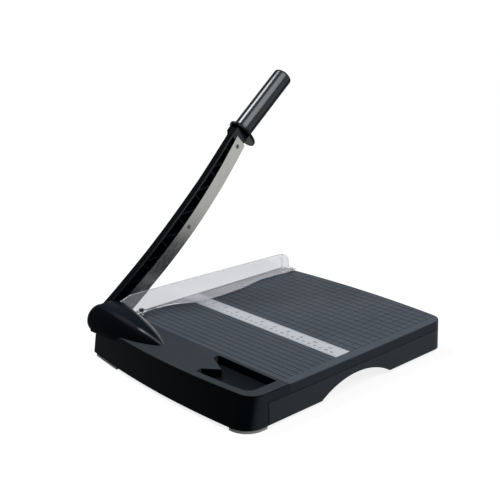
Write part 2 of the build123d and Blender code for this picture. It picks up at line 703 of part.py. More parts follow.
def guard_outline(shape_y0):
    """The guard's upright side from shape_y0 to the far end, as a face across X."""
    top = [(-130.0, 79.0), (0.0, 77.2), (164.0, 73.9)]
    edges = [
        Line((-148.0, FLANGE_Z), (-148.0, 73.0)),
        Line((-148.0, 73.0), top[0]),
        Line(top[0], top[1]),
        Line(top[1], top[2]),
        ThreePointArc(top[2], (180.0, 69.4), (GUARD_FAR_Y, 61.0)),
        Line((GUARD_FAR_Y, 61.0), (GUARD_FAR_Y, FLANGE_Z)),
        Line((GUARD_FAR_Y, FLANGE_Z), (-148.0, FLANGE_Z)),
    ]
    keep = Pos(shape_y0 + 200, 60) * Rectangle(400, 100)
    return make_face(edges) & keep


def clear_guard():
    x0 = GUARD_X - GUARD_T
    across = Plane((x0, 0, 0), x_dir=(0, 1, 0), z_dir=(1, 0, 0))
    guard = extrude(across * guard_outline(-200), GUARD_T)
    guard += extrude(across * guard_outline(END_BLOCK_Y), END_BLOCK_T)
    lip = make_face([
        Line((x0, -108.0), FLANGE_EDGE[0]),
        Spline(*FLANGE_EDGE),
        Line(FLANGE_EDGE[-1], (x0, 187.0)),
        Line((x0, 187.0), (x0, -108.0)),
    ])
    tip = max(lip.vertices(), key=lambda v: v.X + v.Y)
    guard += Pos(0, 0, FLANGE_Z) * extrude(fillet(tip, 1.5), FLANGE_T)
    tab = span(x0, TAB_REACH_X, -146, TAB_FAR_Y, TAB_Z, TAB_Z + TAB_T)
    corner = [e for e in tab.edges().filter_by(Axis.Z) if e.center().X > x0 + 1 and e.center().Y > -120]
    guard += fillet(corner, 4.0)
    for x, y in (NEAR_POST, FAR_POST):
        guard -= rod_z(x, y, POST_D / 2 + 0.1, 40, 60)
    guard -= dome_grown(2.2)
    return max(guard.solids(), key=lambda s: s.volume)


def dome_grown(amount):
    """The pivot cover's form with a gap around it."""
    return dome_solid(-amount) + rod_x(PIVOT_Y, PIVOT_Z, 20, -165, -140)


def guard_post(place, seat_z, head_t):
    """A shouldered screw that stands in the deck and holds the guard down, with its head over seat_z."""
    x, y = place
    post = rod_z(x, y, POST_D / 2, DECK_Z - 8.5, seat_z + 0.05)
    head = rod_z(x, y, POST_HEAD_D / 2, seat_z + 0.05, seat_z + head_t)
    slot = span(x - 5, x + 5, y - 0.5, y + 0.5, seat_z + head_t - 0.9, 90)
    return post + head - slot


def guard_spring(place, low_z, high_z):
    height = high_z - low_z - SPRING_WIRE - 0.1
    path = Helix(pitch=height / 4.5, height=height, radius=SPRING_R)
    wire = Plane(path @ 0, z_dir=path % 0) * Circle(SPRING_WIRE / 2)
    return Pos(*place, low_z + SPRING_WIRE / 2 + 0.05) * sweep(wire, path)


# ---------------------------------------------------------------- write all

def main():
    body = outer_form()
    shell = shell_form(body)
    put("deck_plate", deck_plate(shell))
    put("front_cover", front_cover(shell))
    put("base_frame", base_frame(shell))
    put("ruler_strip", ruler_strip())
    for name in FOOT_ZONES:
        put(f"foot_{name}", foot(name))
    put("bed_knife", bed_knife())
    put("bed_knife_screws", bed_knife_screws())
    put("frame_screws", frame_screws())
    put("cover_screws", cover_screws())
    put("pivot_bracket", pivot_bracket())
    put("pivot_bracket_screws", pivot_bracket_screws())
    put("pivot_cover", pivot_cover(body))
    put("pivot_cover_screws", pivot_cover_screws())
    put("pivot_bolt", pivot_bolt())
    put("pivot_washers", pivot_washers())
    put("disc_springs", disc_springs())
    put("pivot_nut", pivot_nut())
    put("arm_beam", arm_beam())
    put("blade", blade())
    put("blade_screws", blade_screws())
    put("pivot_bush", pivot_bush())
    put("hub_cap", hub_cap())
    put("hand_guard", hand_guard())
    put("handle_core", handle_core())
    put("handle_grip", handle_grip())
    put("clear_guard", clear_guard())
    put("guard_screw_near", guard_post(NEAR_POST, TAB_Z + TAB_T, 2.4))
    put("guard_stud_far", guard_post(FAR_POST, FLANGE_Z + FLANGE_T, 1.6))
    put("guard_spring_near", guard_spring(NEAR_POST, DECK_Z, TAB_Z))
    put("guard_spring_far", guard_spring(FAR_POST, POCKET_Z, FLANGE_Z))


main()
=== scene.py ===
"""Dresses the lever paper cutter: moulded plastics, ground steel, printed scales and a plain studio."""

import math

import bpy
from bpy.props import FloatProperty, FloatVectorProperty, IntProperty, PointerProperty
from mathutils import Matrix, Vector


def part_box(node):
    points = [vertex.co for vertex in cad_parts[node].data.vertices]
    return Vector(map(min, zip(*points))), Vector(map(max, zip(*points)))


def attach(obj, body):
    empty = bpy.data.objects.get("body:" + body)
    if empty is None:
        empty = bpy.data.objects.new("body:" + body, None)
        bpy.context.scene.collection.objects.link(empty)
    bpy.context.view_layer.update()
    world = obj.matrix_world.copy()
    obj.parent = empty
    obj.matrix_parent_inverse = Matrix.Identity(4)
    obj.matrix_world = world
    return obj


bl_info = {
    "name": "Lever Paper Cutter",
    "version": (1, 0, 0),
    "blender": (4, 5, 0),
    "location": "3D View > Sidebar > Paper Cutter",
    "description": "Finishes, printed scales and a studio for a lever paper cutter",
    "category": "Add Mesh",
}

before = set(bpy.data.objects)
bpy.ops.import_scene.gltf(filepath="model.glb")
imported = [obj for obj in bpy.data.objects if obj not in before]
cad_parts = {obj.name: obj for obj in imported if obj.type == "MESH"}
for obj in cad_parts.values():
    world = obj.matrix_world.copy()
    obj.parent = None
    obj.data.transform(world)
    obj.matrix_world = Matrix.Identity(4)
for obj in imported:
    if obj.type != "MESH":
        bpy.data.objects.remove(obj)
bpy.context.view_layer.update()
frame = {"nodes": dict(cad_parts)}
NODES = frame["nodes"]
MM = 0.001
INCH = 25.4 * MM

# Places on the CAD parts, the middle of the base on the desk, and the arm's angle at rest
DECK_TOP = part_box("deck_plate")[1].z
STRIP_LOW, STRIP_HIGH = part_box("ruler_strip")
CUT_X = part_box("bed_knife")[0].x
BASE_MIDDLE = Vector((CUT_X + 160.0 * MM, STRIP_HIGH.y - 0.8 * MM, 0))
REST_TILT = math.radians(42.0)

# The printed part of the bed, and the joint of the front cover and the lower side wall
PRINT_NEAR_Y = BASE_MIDDLE.y - 121 * MM
PRINT_FAR_Y = BASE_MIDDLE.y + 183.5 * MM
PRINT_RIGHT_X = BASE_MIDDLE.x + 146 * MM
SEAM_Y = BASE_MIDDLE.y - 161.0 * MM
SEAM_LIP_MIDDLE = BASE_MIDDLE + Vector((155.8, -161.4, 18.2)) * MM
SEAM_LIP_SIZE = Vector((1.6, 9.0, 27.0)) * MM
SEAM_SHADOW = (SEAM_Y + 0.9 * MM, SEAM_Y + 2.0 * MM)
# The tray floor's painted shade gives way to the cover's top colour over this height
TRAY_SHADE_RISE = (DECK_TOP - 4 * MM, DECK_TOP - 1 * MM)

# The pivot cover: the normal of its crease's plane, the crease's width, and where the polish sets in along x
CREASE_Y, CREASE_Z = 0.87, 0.5
CREASE_WIDTH = (0.8 * MM, 2.4 * MM)
CREASE_START = (CUT_X + 80 * MM, CUT_X + 96 * MM)
FLANK_START = (CUT_X + 25 * MM, CUT_X + 70 * MM)
RIGHT = (1, 0, 0)
FAR_FLANK = (0.1, 0.95, 0.3)

# The arm's rims: the height at which their painted highlight is full, and how deep below the outer face it
# reaches
RIM_SHEEN_SHARE = 0.75
RIM_SHEEN_DEPTH = (2.5 * MM, 0.7 * MM)

# The grip's coat, and the glancing view over which it fades
GRIP_COAT = 0.7
GRIP_FADE = (0.30, 0.46)

# The clear guard: just past its wall and just above its flange, where faces are cut edges, and its haze
GUARD_WALL = 2.4 * MM
GUARD_FLANGE = 8 * MM
HAZE, CLOUD_HAZE, EDGE_HAZE = 0.03, 0.10, 0.4

# The bed's print: the cross lines' share of the line width, their strength in each grid, and its least height
CROSS_WIDTH = 0.7
INCH_CROSS, CM_CROSS = 0.7, 0.4
PRINT_DEPTH = 0.4 * MM

# The ruler's ticks: the pitch, then the width and the reach from the strip's edge in mm
INCH_TICKS = (
    (INCH, 0.36, 5.8),
    (INCH / 2, 0.30, 4.8),
    (INCH / 4, 0.26, 4.0),
    (INCH / 8, 0.24, 3.2),
    (INCH / 16, 0.22, 2.4),
)
METRIC_TICKS = ((10 * MM, 0.36, 5.6), (5 * MM, 0.30, 4.4), (1 * MM, 0.20, 2.8))

# The ruler's figures: each row's distance from its edge, and the centimetre row's last figure and height
INCH_INSET = 9.6 * MM
CM_INSET = 9.0 * MM
CM_LAST = 29
CM_FIGURE = 3.6 * MM
TEXT_PER_FIGURE = 1.35
FIGURE_SWELL = 0.1 * MM
FIGURE_LIFT = 0.02 * MM

# The studio: each lamp has its name, place, size and the setting with its power; the floor's glow is dimmed
# near the base, between two distances, and lit there instead so that it takes a soft shadow
FLOOR_SIZE = 60.0
SENSOR_WIDTH = 36.0
CAMERA_SPOT = BASE_MIDDLE + Vector((0.8855, -0.8815, 0.5412))
LAMPS = (
    ("left_softbox", Vector((-1.0, -0.26, 1.92)), (0.8, 0.4), "key"),
    ("right_softbox", Vector((1.15, -0.03, 1.68)), (1.7, 0.6), "side"),
)
SHADE_NEAR, SHADE_FAR = 0.35, 0.9
SHADED_GLOW = 0.84
SHADE_GAIN = 1.6
BOUNCE_TONE = (0.08, 0.08, 0.08, 1)


# ---------------------------------------------------------------- settings

def colour(name, text, value):
    return FloatVectorProperty(
        name=name, description=text, default=value, size=3, subtype="COLOR", min=0.0, max=1.0
    )


def length(name, text, value):
    return FloatProperty(name=name, description=text, default=value, unit="LENGTH")


def angle(name, text, degrees):
    return FloatProperty(name=name, description=text, default=math.radians(degrees), subtype="ANGLE")


class CutterColours(bpy.types.PropertyGroup):
    """The colours of the mouldings, the print and the metal"""

    # The bed's top colour is lighter than the side walls' band colour by a painted sheen; the band colour
    # also paints light on the front cover's right-facing side
    deck: colour("Deck", "Ruled sheet bed", (0.060, 0.075, 0.094))
    grid: colour("Grid", "Printed lines on the sheet bed", (0.004, 0.006, 0.009))
    band: colour("Band", "The sheet bed's side walls", (0.034, 0.043, 0.052))
    # The front cover paints light by facing: a painted sheen on the top, painted shade on the rounded edge
    # and front skirt, and painted shade on the tray floor
    cover: colour("Front cover", "Cover with the tray", (0.036, 0.044, 0.052))
    edge: colour("Cover edge", "The front cover's rounded edge", (0.0004, 0.0005, 0.0007))
    skirt: colour("Skirt", "The front cover's side walls", (0.0025, 0.004, 0.0065))
    tray: colour("Tray", "The tray's floor", (0.006, 0.008, 0.010))
    frame: colour("Lower frame", "The base's lower side walls", (0.025, 0.033, 0.043))
    arm: colour("Arm", "Blade arm and pivot cover", (0.0025, 0.003, 0.005))
    # The rims' colour is a painted highlight on the arm's right-facing rims towards the handle
    rim: colour("Rim", "The arm's rubbed rims by the handle", (0.075, 0.080, 0.092))
    # The pivot cover's top colour is a painted sheen on its upward faces
    crown: colour("Crown", "The pivot cover's crown", (0.006, 0.009, 0.014))
    grip: colour("Grip", "Polished handle", (0.003, 0.009, 0.019))
    strip: colour("Ruler", "Ruler strip", (0.50, 0.53, 0.57))
    ink: colour("Ink", "Figures and ticks on the ruler", (0.03, 0.035, 0.045))
    knife: colour("Bed knife", "The fixed steel edge", (0.33, 0.33, 0.32))
    # The blade's two tones carry a painted reflection over the steel: darker by the pivot, brighter towards
    # the handle
    blade_root: colour("Blade root", "Blade by the pivot", (0.17, 0.17, 0.165))
    blade_tip: colour("Blade tip", "Blade by the handle", (0.42, 0.42, 0.40))
    blade_screw: colour("Blade screws", "Screws that hold the blade", (0.13, 0.13, 0.12))
    zinc: colour("Zinc plate", "Bracket, bolt, washers and nut", (0.62, 0.61, 0.58))
    screw: colour("Screws", "Bright screws inside the base", (0.6, 0.6, 0.6))
    blackened: colour("Blackened steel", "Screws of the bed knife and the guard", (0.05, 0.05, 0.055))
    brass: colour("Brass", "Pivot bush", (0.65, 0.47, 0.2))
    wire: colour("Spring wire", "The clear guard's springs", (0.5, 0.5, 0.5))
    nylon: colour("Nylon", "The clear guard's far stud", (0.7, 0.7, 0.73))
    rubber: colour("Rubber", "Corner feet", (0.52, 0.52, 0.51))
    clear: colour("Clear guard", "Tint of the clear guard", (0.85, 0.857, 0.888))
    clear_edge: colour("Clear edge", "Cut edges of the clear guard", (0.97, 0.97, 1.0))


class CutterPrint(bpy.types.PropertyGroup):
    """The printed grids and the ruler's figures"""

    square: length("Large square", "Pitch of the half-inch grid", INCH / 2)
    small: length("Small square", "Pitch of the centimetre grid", 10 * MM)
    line: length("Line", "Width of a printed line", 1.3 * MM)
    inches: IntProperty(name="Inches", description="Figures on the inch row", default=11, min=1)
    inch_figure: length("Inch figure", "Height of the inch figures", 5.4 * MM)


class CutterStudio(bpy.types.PropertyGroup):
    """The camera and the lamps"""

    lens: FloatProperty(name="Lens", description="Focal length", default=69.24, unit="CAMERA")
    heading: angle("Heading", "Camera turn about the vertical", 46.44)
    dip: angle("Dip", "How far the camera looks down", 17.365)
    key: FloatProperty(name="Key", description="Power of the left lamp", default=22.0, unit="POWER")
    side: FloatProperty(name="Side", description="Power of the right lamp", default=19.0, unit="POWER")
    fill: FloatProperty(name="Fill", description="Strength of the surrounding light", default=0.16, min=0.0)


# ---------------------------------------------------------------- shader nodes

def node(tree, kind, **values):
    """A shader node with its settings and unlinked inputs."""
    made = tree.nodes.new(kind)
    for key, value in values.items():
        if hasattr(made, key):
            setattr(made, key, value)
        else:
            made.inputs[key.replace("_", " ")].default_value = value
    return made


def feed(tree, socket, value):
    """Link an output to an input, or set the input to a plain value."""
    if hasattr(value, "links"):
        tree.links.new(value, socket)
    else:
        socket.default_value = value


def math_node(tree, operation, first, second=None, clamp=False):
    made = node(tree, "ShaderNodeMath", operation=operation, use_clamp=clamp)
    feed(tree, made.inputs[0], first)
    if second is not None:
        feed(tree, made.inputs[1], second)
    return made.outputs[0]


def product(tree, first, *rest):
    for factor in rest:
        first = math_node(tree, "MULTIPLY", first, factor)
    return first


def inverse(tree, share):
    return math_node(tree, "SUBTRACT", 1.0, share)


def soft_step(tree, value, low, high):
    """Zero below low, one above high, and a smooth rise between."""
    made = node(tree, "ShaderNodeMapRange", interpolation_type="SMOOTHSTEP")
    for label, end in (("Value", value), ("From Min", low), ("From Max", high)):
        feed(tree, made.inputs[label], end)
    return made.outputs[0]


def blend_colours(tree, factor, first, second):
    mix = node(tree, "ShaderNodeMix", data_type="RGBA")
    tree.links.new(factor, mix.inputs[0])
    feed(tree, mix.inputs[6], first)
    feed(tree, mix.inputs[7], second)
    return mix.outputs[2]


def scaled_colour(tree, tone, level):
    tint = node(tree, "ShaderNodeVectorMath", operation="SCALE")
    tree.links.new(tone, tint.inputs[0])
    tree.links.new(level, tint.inputs["Scale"])
    return tint.outputs[0]


def off_middle(tree, noise):
    """A noise texture's value about zero."""
    return math_node(tree, "SUBTRACT", noise.outputs["Fac"], 0.5)


def object_coordinates(tree):
    """A surface point's place in its own object."""
    return tree.nodes.new("ShaderNodeTexCoord").outputs["Object"]


def object_place(tree):
    """The x, y and z of a surface point in its own object."""
    split = tree.nodes.new("ShaderNodeSeparateXYZ")
    tree.links.new(object_coordinates(tree), split.inputs[0])
    return split.outputs


def seen_rays(tree):
    """One for rays from the camera, from a reflection and through clear parts; zero for bounced light."""
    path = tree.nodes.new("ShaderNodeLightPath")
    seen = math_node(tree, "MAXIMUM", path.outputs["Is Camera Ray"], path.outputs["Is Glossy Ray"])
    return math_node(tree, "MAXIMUM", seen, path.outputs["Is Transmission Ray"])


# ---------------------------------------------------------------- shared shader groups

SURFACE = [("Colour", "NodeSocketColor"), ("Roughness", "NodeSocketFloat"), ("Height", "NodeSocketFloat")]
MASK = [("Mask", "NodeSocketFloat")]


def new_group(name, inputs, outputs):
    tree = bpy.data.node_groups.new(name, "ShaderNodeTree")
    for label, kind, value in inputs:
        socket = tree.interface.new_socket(label, in_out="INPUT", socket_type=kind)
        socket.default_value = value
    for label, kind in outputs:
        tree.interface.new_socket(label, in_out="OUTPUT", socket_type=kind)
    return tree, tree.nodes.new("NodeGroupInput").outputs, tree.nodes.new("NodeGroupOutput").inputs


def moulded_grain_group():
    """Spark-eroded plastic: a fine pebble, a soft unevenness of tone, and rubbed patches."""
    tree, given, out = new_group(
        "Moulded Grain",
        [
            ("Colour", "NodeSocketColor", (0.05, 0.05, 0.05, 1)),
            ("Pebble Scale", "NodeSocketFloat", 1600.0),
            ("Fleck", "NodeSocketFloat", 0.25),
            ("Rubbed", "NodeSocketFloat", 0.15),
            ("Roughness", "NodeSocketFloat", 0.5),
        ],
        SURFACE,
    )
    place = object_coordinates(tree)
    pebble = node(tree, "ShaderNodeTexNoise", Detail=3.0, Roughness=0.6)
    cloud = node(tree, "ShaderNodeTexNoise", Scale=14.0, Detail=4.0, Roughness=0.65)
    tree.links.new(place, pebble.inputs["Vector"])
    tree.links.new(place, cloud.inputs["Vector"])
    tree.links.new(given["Pebble Scale"], pebble.inputs["Scale"])
    fine = off_middle(tree, pebble)
    tone = product(tree, fine, given["Fleck"])
    rub = product(tree, off_middle(tree, cloud), given["Rubbed"])
    level = math_node(tree, "ADD", math_node(tree, "ADD", tone, rub), 1.0)
    tree.links.new(scaled_colour(tree, given["Colour"], level), out["Colour"])
    gloss = math_node(tree, "SUBTRACT", given["Roughness"], rub)
    gloss = math_node(tree, "ADD", gloss, product(tree, fine, 0.1), clamp=True)
    tree.links.new(gloss, out["Roughness"])
    tree.links.new(pebble.outputs["Fac"], out["Height"])
    return tree


def ground_steel_group():
    """Ground steel: long fine scratches along one direction, with a few darker smears."""
    tree, given, out = new_group(
        "Ground Steel",
        [
            ("Colour", "NodeSocketColor", (0.5, 0.5, 0.5, 1)),
            ("Turn", "NodeSocketVector", (0, 0, 0)),
            ("Streak", "NodeSocketVector", (300, 6, 700)),
            ("Depth", "NodeSocketFloat", 0.25),
            ("Roughness", "NodeSocketFloat", 0.35),
        ],
        SURFACE,
    )
    turned = tree.nodes.new("ShaderNodeMapping")
    drawn = tree.nodes.new("ShaderNodeMapping")
    tree.links.new(object_coordinates(tree), turned.inputs["Vector"])
    tree.links.new(given["Turn"], turned.inputs["Rotation"])
    tree.links.new(turned.outputs[0], drawn.inputs["Vector"])
    tree.links.new(given["Streak"], drawn.inputs["Scale"])
    streak = node(tree, "ShaderNodeTexNoise", Scale=1.0, Detail=5.0, Roughness=0.7)
    smear = node(tree, "ShaderNodeTexNoise", Scale=22.0, Detail=3.0)
    tree.links.new(drawn.outputs[0], streak.inputs["Vector"])
    tree.links.new(turned.outputs[0], smear.inputs["Vector"])
    line = product(tree, off_middle(tree, streak), given["Depth"])
    patch = product(tree, off_middle(tree, smear), 0.25)
    level = math_node(tree, "ADD", math_node(tree, "ADD", line, patch), 1.0)
    tree.links.new(scaled_colour(tree, given["Colour"], level), out["Colour"])
    tree.links.new(math_node(tree, "ADD", given["Roughness"], line, clamp=True), out["Roughness"])
    tree.links.new(streak.outputs["Fac"], out["Height"])
    return tree


def ruled_lines_group():
    """Evenly spaced printed lines across one coordinate."""
    tree, given, out = new_group(
        "Ruled Lines",
        [
            ("Coordinate", "NodeSocketFloat", 0.0),
            ("Start", "NodeSocketFloat", 0.0),
            ("Pitch", "NodeSocketFloat", 0.01),
            ("Width", "NodeSocketFloat", 0.0005),
        ],
        MASK,
    )
    along = math_node(tree, "SUBTRACT", given["Coordinate"], given["Start"])
    turns = math_node(tree, "ADD", math_node(tree, "DIVIDE", along, given["Pitch"]), 0.5)
    part = math_node(tree, "SUBTRACT", math_node(tree, "FRACT", turns), 0.5)
    far = product(tree, math_node(tree, "ABSOLUTE", part), given["Pitch"])
    half = product(tree, given["Width"], 0.5)
    tree.links.new(math_node(tree, "LESS_THAN", far, half), out["Mask"])
    return tree


def band_group():
    """One between a low and a high coordinate, and nothing outside."""
    tree, given, out = new_group(
        "Band",
        [
            ("Coordinate", "NodeSocketFloat", 0.0),
            ("Low", "NodeSocketFloat", 0.0),
            ("High", "NodeSocketFloat", 1.0),
        ],
        MASK,
    )
    above = math_node(tree, "GREATER_THAN", given["Coordinate"], given["Low"])
    below = math_node(tree, "LESS_THAN", given["Coordinate"], given["High"])
    tree.links.new(product(tree, above, below), out["Mask"])
    return tree


def facing_group():
    """How far a surface turns towards one axis, as a soft step from a low to a high share."""
    tree, given, out = new_group(
        "Facing",
        [
            ("Axis", "NodeSocketVector", (0, 0, 1)),
            ("Low", "NodeSocketFloat", 0.4),
            ("High", "NodeSocketFloat", 0.8),
        ],
        MASK,
    )
    dot = node(tree, "ShaderNodeVectorMath", operation="DOT_PRODUCT")
    tree.links.new(tree.nodes.new("ShaderNodeNewGeometry").outputs["Normal"], dot.inputs[0])
    tree.links.new(given["Axis"], dot.inputs[1])
    tree.links.new(soft_step(tree, dot.outputs["Value"], given["Low"], given["High"]), out["Mask"])
    return tree


GROUPS = {
    "Moulded Grain": moulded_grain_group,
    "Ground Steel": ground_steel_group,
    "Ruled Lines": ruled_lines_group,
    "Band": band_group,
    "Facing": facing_group,
}


def group_node(tree, name, **values):
    """A shader group in a tree, built the first time it is asked for."""
    made = tree.nodes.new("ShaderNodeGroup")
    made.node_tree = bpy.data.node_groups.get(name) or GROUPS[name]()
    for key, value in values.items():
        feed(tree, made.inputs[key.replace("_", " ")], value)
    return made


def mask(tree, name, **values):
    """The one output of a group that makes a mask."""
    return group_node(tree, name, **values).outputs["Mask"]


# ---------------------------------------------------------------- materials

def opaque(rgb):
    return (*rgb, 1.0)


def new_material(name, **shader_values):
    material = bpy.data.materials.new(name)
    material.use_nodes = True
    tree = material.node_tree
    shader = tree.nodes["Principled BSDF"]
    for key, value in shader_values.items():
        shader.inputs[key.replace("_", " ")].default_value = value
    return material, tree, shader


def lay_surface(tree, shader, group, relief, **values):
    """Lead a group's colour, roughness and relief (in mm) to the shader, and return the colour."""
    surface = group_node(tree, group, **values)
    tree.links.new(surface.outputs["Colour"], shader.inputs["Base Color"])
    tree.links.new(surface.outputs["Roughness"], shader.inputs["Roughness"])
    bump = node(tree, "ShaderNodeBump", Distance=relief * MM)
    tree.links.new(surface.outputs["Height"], bump.inputs["Height"])
    tree.links.new(bump.outputs["Normal"], shader.inputs["Normal"])
    return surface.outputs["Colour"]


def moulded_plastic(name, rgb, roughness, relief=0.03, specular=0.4, **grain):
    """Plastic of one tone, with any other values of Moulded Grain."""
    material, tree, shader = new_material(name, Specular_IOR_Level=specular)
    lay_surface(tree, shader, "Moulded Grain", relief, Colour=opaque(rgb), Roughness=roughness, **grain)
    return material


def cover_plastic(colours):
    """The front cover: textured top with a painted sheen, a black rounded edge and satin near-black front
    skirt in painted shade, a right side lighter with painted light, and a tray floor darkened with painted
    shade.
    """
    material, tree, shader = new_material("front_cover_plastic", Specular_IOR_Level=0.015)
    # Painted light by facing: the rounded edge and front skirt in painted shade, the right-facing side
    # lighter with painted light, and the top with a painted sheen
    rounded = mask(tree, "Facing", Low=0.05, High=0.3)
    level = mask(tree, "Facing", Low=0.8, High=0.97)
    flank = mask(tree, "Facing", Axis=RIGHT, Low=0.75, High=1.0)
    side = blend_colours(tree, flank, opaque(colours.skirt), opaque(colours.band))
    edge = blend_colours(tree, flank, opaque(colours.edge), opaque(colours.band))
    side = blend_colours(tree, rounded, side, edge)
    # Painted shade in the tray: the floor below the top takes the darker tray colour
    clear_of_tray_shade = soft_step(tree, object_place(tree)[2], *TRAY_SHADE_RISE)
    top = blend_colours(tree, clear_of_tray_shade, opaque(colours.tray), opaque(colours.cover))
    tone = blend_colours(tree, level, side, top)
    lay_surface(tree, shader, "Moulded Grain", 0.03, Colour=tone, Fleck=0.3, Rubbed=0.2, Roughness=0.5)
    return material


def frame_plastic(colours):
    """The lower frame: textured walls, with a dark shadow line where the front cover meets the side wall."""
    material, tree, shader = new_material("frame_plastic", Specular_IOR_Level=0.1)
    wall = mask(tree, "Facing", Axis=RIGHT, Low=0.5, High=0.8)
    away = soft_step(tree, object_place(tree)[1], *SEAM_SHADOW)
    shadow = product(tree, wall, inverse(tree, away))
    tone = blend_colours(tree, shadow, opaque(colours.frame), opaque(colours.arm))
    lay_surface(tree, shader, "Moulded Grain", 0.03, Colour=tone, Fleck=0.3, Rubbed=0.15, Roughness=0.5)
    return material


def arm_plastic(colours):
    """Satin black: the open rims, and less so the ribs, are painted lighter towards the handle as a painted
    highlight.
    """
    material, tree, shader = new_material("arm_plastic", Specular_IOR_Level=0.01)
    facing = mask(tree, "Facing", Axis=RIGHT, Low=0.8, High=0.98)
    low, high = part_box("arm_beam")
    x, _, z = object_place(tree)
    # The rims' painted highlight rises up the arm and fades inward from the outer face
    rubbed = soft_step(tree, z, low.z, low.z + RIM_SHEEN_SHARE * (high.z - low.z))
    outward = soft_step(tree, x, *(high.x - depth for depth in RIM_SHEEN_DEPTH))
    rim = product(tree, facing, rubbed, outward)
    tone = blend_colours(tree, rim, opaque(colours.arm), opaque(colours.rim))
    lay_surface(tree, shader, "Moulded Grain", 0.02, Colour=tone, Fleck=0.3, Rubbed=0.3, Roughness=0.25)
    return material


def pivot_cover_plastic(colours):
    """Satin black with a polished crease and a polished far flank towards the point, and a painted sheen on
    its upward faces.
    """
    material, tree, shader = new_material("pivot_cover_plastic", Specular_IOR_Level=0.01, Coat_Roughness=0.24)
    x, y, z = object_place(tree)
    low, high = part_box("pivot_bush")
    middle = (low + high) / 2
    beyond = product(tree, math_node(tree, "SUBTRACT", y, middle.y), CREASE_Y)
    above = product(tree, math_node(tree, "SUBTRACT", z, middle.z), CREASE_Z)
    off_crease = math_node(tree, "ABSOLUTE", math_node(tree, "ADD", beyond, above))
    crease = inverse(tree, soft_step(tree, off_crease, *CREASE_WIDTH))
    crease = product(tree, crease, soft_step(tree, x, *CREASE_START))
    flank = mask(tree, "Facing", Axis=FAR_FLANK, Low=0.4, High=0.8)
    flank = product(tree, flank, soft_step(tree, x, *FLANK_START))
    tree.links.new(math_node(tree, "MAXIMUM", crease, flank), shader.inputs["Coat Weight"])
    # Painted sheen: upward faces take the lighter top colour
    crown = mask(tree, "Facing", Low=0.7, High=1.0)
    tone = blend_colours(tree, crown, opaque(colours.arm), opaque(colours.crown))
    lay_surface(tree, shader, "Moulded Grain", 0.01, Colour=tone, Fleck=0.3, Rubbed=0.2, Roughness=0.3)
    return material


def grip_plastic(colours):
    """The grip: gloss under a clear coat that fades at a glancing view."""
    material, tree, shader = new_material("polished_grip", Specular_IOR_Level=0.02, Coat_Roughness=0.14)
    glance = node(tree, "ShaderNodeLayerWeight", Blend=0.5).outputs["Facing"]
    fade = inverse(tree, soft_step(tree, glance, *GRIP_FADE))
    tree.links.new(product(tree, fade, GRIP_COAT), shader.inputs["Coat Weight"])
    lay_surface(
        tree, shader, "Moulded Grain", 0.002,
        Colour=opaque(colours.grip), Pebble_Scale=500.0, Fleck=0.1, Rubbed=0.06, Roughness=0.3,
    )
    return material


def steel(name, rgb, streak, roughness=0.34, depth=0.3):
    material, tree, shader = new_material(name, Metallic=1.0)
    lay_surface(
        tree, shader, "Ground Steel", 0.01,
        Colour=opaque(rgb), Streak=streak, Depth=depth, Roughness=roughness,
    )
    return material


def blade_steel(colours):
    """The blade: ground along its length, with a painted reflection that is darker by the pivot and brighter
    towards the handle.
    """
    material, tree, shader = new_material("blade_steel", Metallic=1.0)
    low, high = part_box("blade")
    # Painted reflection: the tone brightens from the pivot towards the handle
    along = soft_step(tree, object_place(tree)[2], low.z, high.z)
    tone = blend_colours(tree, along, opaque(colours.blade_root), opaque(colours.blade_tip))
    lay_surface(
        tree, shader, "Ground Steel", 0.01,
        Colour=tone, Turn=(-REST_TILT, 0, 0), Streak=(700, 60, 900), Depth=0.5, Roughness=0.25,
    )
    return material


def printed_deck(colours, sizes):
    """The sheet bed: half-inch squares beyond the ruler and centimetre lines before it, on a top lighter than
    the side walls by a painted sheen.
    """
    material, tree, shader = new_material("ruled_deck", Specular_IOR_Level=0.04)
    x, y, z = object_place(tree)

    def grid(start_y, along_pitch, across_pitch, faint, low, high):
        thin = sizes.line * CROSS_WIDTH
        across = mask(tree, "Ruled Lines", Coordinate=x, Start=CUT_X, Pitch=across_pitch, Width=thin)
        along = mask(tree, "Ruled Lines", Coordinate=y, Start=start_y, Pitch=along_pitch, Width=sizes.line)
        within = mask(tree, "Band", Coordinate=y, Low=low, High=high)
        return product(tree, math_node(tree, "MAXIMUM", product(tree, across, faint), along), within)

    inch_grid = grid(STRIP_HIGH.y, sizes.square, sizes.square, INCH_CROSS, STRIP_HIGH.y, PRINT_FAR_Y)
    cm_grid = grid(STRIP_LOW.y, sizes.small, sizes.small / 2, CM_CROSS, PRINT_NEAR_Y, STRIP_LOW.y)
    on_bed = mask(tree, "Band", Coordinate=x, Low=CUT_X, High=PRINT_RIGHT_X)
    on_top = math_node(tree, "GREATER_THAN", z, DECK_TOP - PRINT_DEPTH)
    ruled = product(tree, math_node(tree, "MAXIMUM", inch_grid, cm_grid), product(tree, on_bed, on_top))
    # Painted sheen: upward faces take the lighter bed colour, the side walls the darker band colour
    level = mask(tree, "Facing", Low=0.35, High=0.9)
    tone = blend_colours(tree, level, opaque(colours.band), opaque(colours.deck))
    bare = lay_surface(
        tree, shader, "Moulded Grain", 0.03,
        Colour=tone, Pebble_Scale=1300.0, Fleck=0.35, Rubbed=0.22, Roughness=0.5,
    )
    tree.links.new(blend_colours(tree, ruled, bare, opaque(colours.grid)), shader.inputs["Base Color"])
    return material


